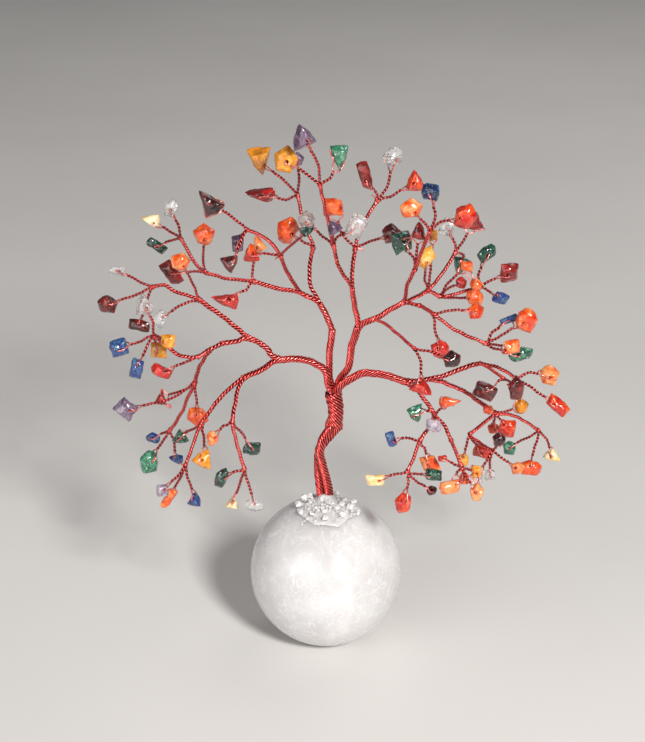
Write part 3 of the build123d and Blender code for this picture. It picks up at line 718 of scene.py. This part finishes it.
# Each stone's colours from its darkest to its palest tone, the size of its clouds in mm, how clear and
# how soft it looks to light, and the colour and share of its flecks
STONES = {
    "amethyst": {
        "tones": [(0.030, 0.010, 0.028), (0.10, 0.045, 0.10),
                  (0.23, 0.16, 0.24), (0.58, 0.50, 0.56)],
        "clouds": 2.4, "clear": 0.3, "soft": 0.2,
        "fleck": (0.75, 0.68, 0.74), "flecks": 0.10,
    },
    "carnelian": {
        "tones": [(0.13, 0.008, 0.004), (0.58, 0.012, 0.005),
                  (0.84, 0.105, 0.007), (0.92, 0.40, 0.14)],
        "clouds": 3.0, "clear": 0.22, "soft": 0.25,
        "fleck": (0.93, 0.60, 0.36), "flecks": 0.14,
    },
    "jasper": {
        "tones": [(0.05, 0.006, 0.006), (0.20, 0.010, 0.008),
                  (0.50, 0.018, 0.012), (0.62, 0.05, 0.03)],
        "clouds": 2.4, "clear": 0.0, "soft": 0.04,
        "fleck": (0.55, 0.04, 0.02), "flecks": 0.18,
    },
    "garnet": {
        "tones": [(0.010, 0.002, 0.003), (0.10, 0.004, 0.004),
                  (0.34, 0.010, 0.007), (0.60, 0.09, 0.02)],
        "clouds": 2.6, "clear": 0.12, "soft": 0.04,
        "fleck": (0.60, 0.10, 0.06), "flecks": 0.20,
    },
    "aventurine": {
        "tones": [(0.005, 0.018, 0.014), (0.008, 0.065, 0.038),
                  (0.035, 0.20, 0.11), (0.30, 0.52, 0.38)],
        "clouds": 1.5, "clear": 0.05, "soft": 0.05,
        "fleck": (0.55, 0.72, 0.62), "flecks": 0.24,
    },
    "lapis": {
        "tones": [(0.008, 0.010, 0.045), (0.012, 0.028, 0.18),
                  (0.030, 0.085, 0.19), (0.30, 0.42, 0.46)],
        "clouds": 1.6, "clear": 0.0, "soft": 0.03,
        "fleck": (0.10, 0.30, 0.25), "flecks": 0.32,
    },
    "citrine": {
        "tones": [(0.42, 0.14, 0.006), (0.80, 0.29, 0.012),
                  (0.88, 0.50, 0.09), (0.93, 0.80, 0.52)],
        "clouds": 3.0, "clear": 0.18, "soft": 0.25,
        "fleck": (0.95, 0.78, 0.42), "flecks": 0.12,
    },
    "quartz": {
        "tones": [(0.62, 0.56, 0.54), (0.84, 0.81, 0.80),
                  (0.93, 0.92, 0.92), (0.98, 0.98, 0.98)],
        "clouds": 1.8, "clear": 0.85, "soft": 0.1,
        "fleck": (1.0, 1.0, 1.0), "flecks": 0.12,
    },
}


def stone_material(kind):
    """A tumbled chip: clouded colour round the stone's own tone, a worn polish and fine pits."""
    facts = STONES[kind]
    kit = Nodes(kind + "_stone")
    tone = kit.add("ShaderNodeAttribute", attribute_name="tone").outputs["Fac"]
    clouds = kit.noise(facts["clouds"] * MM, 5, 0.6, 0.8)
    shade = kit.sum(tone, clouds, 1.4)
    shift = kit.add("ShaderNodeMath", operation="SUBTRACT")
    kit.link(shade, shift.inputs[0])
    shift.inputs[1].default_value = 0.70
    body = kit.ramp(shift.outputs["Value"], *zip((0.08, 0.36, 0.66, 0.94), facts["tones"]))
    start = 0.68 - 0.35 * facts["flecks"]
    spots = kit.ramp(kit.noise(0.8 * MM, 4, 0.7), (start, (0, 0, 0)), (start + 0.05, (0.8, 0.8, 0.8)))
    fleck = kit.ramp(clouds, (0.2, facts["fleck"]), (0.8, tuple(0.8 * c for c in facts["fleck"])))
    colour = kit.mix(spots, body, fleck)
    kit.link(colour, kit.shader.inputs["Base Color"])
    kit.link(kit.between(kit.noise(0.9 * MM, 4), 0.08, 0.26), kit.shader.inputs["Roughness"])
    kit.bump(kit.noise(0.6 * MM, 4, 0.6), 0.10 * MM)
    kit.set(Coat_Weight=0.6, Coat_Roughness=0.05, Subsurface_Weight=facts["soft"], Subsurface_Scale=1.2 * MM,
            Transmission_Weight=facts["clear"], IOR=1.54)
    kit.shader.inputs["Subsurface Radius"].default_value = (1.0, 0.6, 0.4)
    return kit.material


def ball_material():
    """Polished milky quartz: white, with soft clouds, a few healed cracks and small flecks."""
    kit = Nodes("milky_quartz")
    clouds = kit.noise(16 * MM, 5, 0.55, 0.7)
    body = kit.ramp(clouds, (0.32, (0.53, 0.515, 0.515)), (0.5, (0.58, 0.57, 0.57)),
                    (0.68, (0.65, 0.64, 0.64)))
    cracks = kit.noise(9 * MM, 6, 0.6, 1.5)
    vein = kit.ramp(cracks, (0.485, (0, 0, 0)), (0.50, (0.55, 0.55, 0.55)), (0.515, (0, 0, 0)))
    pale = kit.ramp(clouds, (0.0, (0.80, 0.79, 0.79)), (1.0, (0.88, 0.87, 0.87)))
    veined = kit.mix(vein, body, pale)
    flecks = kit.ramp(kit.noise(1.6 * MM, 2), (0.70, (0, 0, 0)), (0.76, (0.6, 0.6, 0.6)))
    colour = kit.mix(flecks, veined, pale)
    kit.link(colour, kit.shader.inputs["Base Color"])
    kit.link(kit.between(kit.noise(7 * MM, 4), 0.2, 0.3), kit.shader.inputs["Roughness"])
    kit.bump(kit.noise(2.5 * MM, 3), 0.01 * MM)
    kit.set(Coat_Weight=0.3, Coat_Roughness=0.12, Specular_IOR_Level=0.2, Subsurface_Weight=0.9,
            Subsurface_Scale=12 * MM, IOR=1.54)
    kit.shader.inputs["Subsurface Radius"].default_value = (1.0, 0.95, 0.9)
    return kit.material


def glue_material():
    """Hardened clear glue: glassy, faintly clouded, with ripples."""
    kit = Nodes("clear_glue")
    colour = kit.ramp(kit.noise(3 * MM, 3), (0.3, (0.93, 0.90, 0.89)), (0.7, (0.99, 0.98, 0.975)))
    kit.link(colour, kit.shader.inputs["Base Color"])
    kit.link(kit.between(kit.noise(1.5 * MM, 3), 0.06, 0.22), kit.shader.inputs["Roughness"])
    kit.bump(kit.noise(1.8 * MM, 3), 0.25 * MM)
    kit.set(Transmission_Weight=0.3, IOR=1.35, Coat_Weight=0.8, Subsurface_Weight=0.6,
            Subsurface_Scale=3 * MM)
    kit.shader.inputs["Subsurface Radius"].default_value = (1.0, 1.0, 1.0)
    return kit.material


def grain_material():
    """Crushed clear quartz: white where it is broken, glassy where it is whole."""
    kit = Nodes("crushed_quartz")
    colour = kit.ramp(kit.noise(1.4 * MM, 4), (0.3, (0.70, 0.66, 0.65)), (0.5, (0.80, 0.78, 0.78)),
                      (0.7, (0.92, 0.92, 0.92)))
    kit.link(colour, kit.shader.inputs["Base Color"])
    kit.link(kit.between(kit.noise(0.8 * MM, 3), 0.08, 0.35), kit.shader.inputs["Roughness"])
    kit.bump(kit.noise(0.6 * MM, 4), 0.12 * MM)
    kit.set(Transmission_Weight=0.12, IOR=1.54, Coat_Weight=0.8, Subsurface_Weight=0.6,
            Subsurface_Scale=1.5 * MM)
    kit.shader.inputs["Subsurface Radius"].default_value = (1.0, 1.0, 1.0)
    return kit.material


def floor_material():
    kit = Nodes("paper")
    colour = kit.ramp(kit.noise(0.15, 4), (0.3, (0.66, 0.64, 0.62)), (0.7, (0.70, 0.68, 0.66)))
    kit.link(colour, kit.shader.inputs["Base Color"])
    kit.set(Roughness=0.85)
    return kit.material


# ---------------------------------------------------------------- assembly

def settle(piece, node, material):
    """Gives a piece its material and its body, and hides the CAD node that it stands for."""
    piece.data.materials.clear()
    piece.data.materials.append(material)
    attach(piece, "root")
    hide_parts(node)


def build_wires(chips):
    rng = random.Random(7)
    rods = read_rods()
    trunk = [rod for rod in rods if rod["node"].endswith("trunk_strand")]
    bundles = [rod for rod in rods if rod["kind"] == "bundle" and rod not in trunk]
    twigs = [rod for rod in rods if rod["kind"] == "twig"]
    loops = [rod for rod in rods if rod["kind"] == "loop"]
    roots = [rod for rod in rods if rod["kind"] == "root"]
    ends = grow(bundles, trunk_top())
    join_twigs(twigs, loops, ends)
    wires = {}
    dress_wires(wires, bundles + twigs + roots, rng, chips)
    dress_trunk(wires, trunk, rng)
    wires["trunk_collar"] = wrap_collar(rng)
    red = wire_material()
    for node, mesh in wires.items():
        settle(mesh.build(node + "_look"), node, red)


def build_stones():
    """Every chip piece, and one tree of all their faces for the wire loops to lie on."""
    materials = {kind: stone_material(kind) for kind in STONES}
    joined = bmesh.new()
    for node in SLOT_OF:
        if not node.endswith("_chips"):
            continue
        piece = cut_stones(node)
        settle(piece, node, materials[node.split("_")[-2]])
        joined.from_mesh(piece.data)
    tree = BVHTree.FromBMesh(joined)
    joined.free()
    return tree


def build_base():
    settle(turn_ball(), "crystal_ball", ball_material())
    glue = soften("glue_bed", 0.3 * MM, 14)
    carve(glue, 0.25 * MM, 2.2 * MM, 5)
    settle(glue, "glue_bed", glue_material())
    grains = soften("quartz_grains", 0.22 * MM, 1)
    carve(grains, 0.45 * MM, 1.6 * MM, 9)
    shatter = grains.modifiers.new("facets", "DECIMATE")
    shatter.ratio = 0.12
    apply_modifiers(grains)
    scatter_crumbs(grains, BVHTree.FromObject(glue, bpy.context.evaluated_depsgraph_get()))
    grains.data.shade_flat()
    settle(grains, "quartz_grains", grain_material())


def lay_floor():
    half = 3.0
    mesh = bpy.data.meshes.new("floor")
    corners = [(-half, -half, 0), (half, -half, 0), (half, half, 0), (-half, half, 0)]
    mesh.from_pydata(corners, [], [(0, 1, 2, 3)])
    floor = bpy.data.objects.new("floor", mesh)
    bpy.context.scene.collection.objects.link(floor)
    mesh.materials.append(floor_material())


def add_light(name, azimuth, elevation, distance, size, watts, colour):
    """A soft box that looks at the tree. Azimuth 0 is in front, 90 to the right."""
    turn, rise = math.radians(azimuth), math.radians(elevation)
    way = Vector((math.sin(turn) * math.cos(rise), -math.cos(turn) * math.cos(rise), math.sin(rise)))
    light = bpy.data.lights.new(name, "AREA")
    light.shape = "ELLIPSE"
    light.size, light.size_y = size
    light.energy = watts
    light.color = colour
    lamp = bpy.data.objects.new(name, light)
    lamp.location = Vector((0, 0, 0.08)) + way * distance
    lamp.rotation_euler = way.to_track_quat("Z", "Y").to_euler()
    bpy.context.scene.collection.objects.link(lamp)


def light_scene():
    add_light("key", 24, 32, 1.3, (0.24, 0.24), 21, (1, 0.98, 0.95))
    add_light("fill", -37, 14, 0.8, (0.7, 0.75), 3.0, (1, 1, 1))
    add_light("rear", 150, 45, 1.2, (0.8, 0.6), 2.5, (1, 0.98, 0.96))
    world = bpy.data.worlds.new("studio")
    world.use_nodes = True
    back = world.node_tree.nodes["Background"]
    back.inputs["Color"].default_value = (0.93, 0.93, 0.95, 1)
    back.inputs["Strength"].default_value = 0.16
    bpy.context.scene.world = world
    bpy.context.scene.view_settings.view_transform = "Standard"


# The camera's place, in ball radii from the ball's middle, and how far its lens tilts down
CAMERA_PLACE = Vector((-0.047, -20.99, 11.636))
CAMERA_TILT = 22.7
LENS = 87.33


def place_camera():
    """A camera in front of the tree and above it, looking down at it."""
    view = bpy.data.cameras.new("camera")
    view.lens = LENS
    view.sensor_width = 36
    view.clip_end = 20
    camera = bpy.data.objects.new("camera", view)
    camera.location = BALL_CENTRE + BALL_RADIUS * CAMERA_PLACE
    camera.rotation_euler = (math.radians(90 - CAMERA_TILT), 0, 0)
    bpy.context.scene.collection.objects.link(camera)
    bpy.context.scene.camera = camera


build_wires(build_stones())
build_base()
lay_floor()
light_scene()
place_camera()
